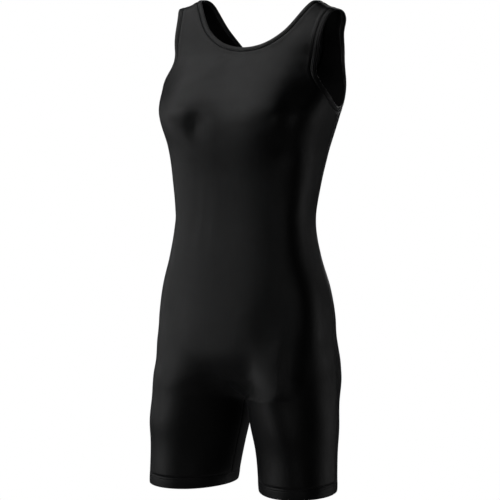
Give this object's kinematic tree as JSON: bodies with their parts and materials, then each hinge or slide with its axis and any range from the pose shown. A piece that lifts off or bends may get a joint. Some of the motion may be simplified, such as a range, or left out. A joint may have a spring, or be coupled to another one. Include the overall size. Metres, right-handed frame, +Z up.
{
  "type": "wrestling singlet",
  "caption": "Close-fitting sleeveless sports suit with scoop neck, wide straps, deep armholes and short legs, in plain black stretch knit with bound edges and turned hems.",
  "frame": {"origin": "on the shoulder line where the wearer's shoulders hold the straps, midway between them", "axes": "+Z up, -Y to the front, +X to the wearer's left"},
  "size_m": [0.3328, 0.232, 0.7891],
  "materials": {
    "panel_knit": "smooth black nylon and elastane knit with a soft sheen",
    "binding_knit": "the same knit folded and stitched down",
    "hem_knit": "the same knit turned up and held by a twin stitch"
  },
  "bodies": {
    "root": {"front_panel": "panel_knit", "back_panel": "panel_knit", "neck_band": "binding_knit", "armhole_band_left": "binding_knit", "armhole_band_right": "binding_knit", "leg_hem_left": "hem_knit", "leg_hem_right": "hem_knit"}
  },
  "joints": []
}
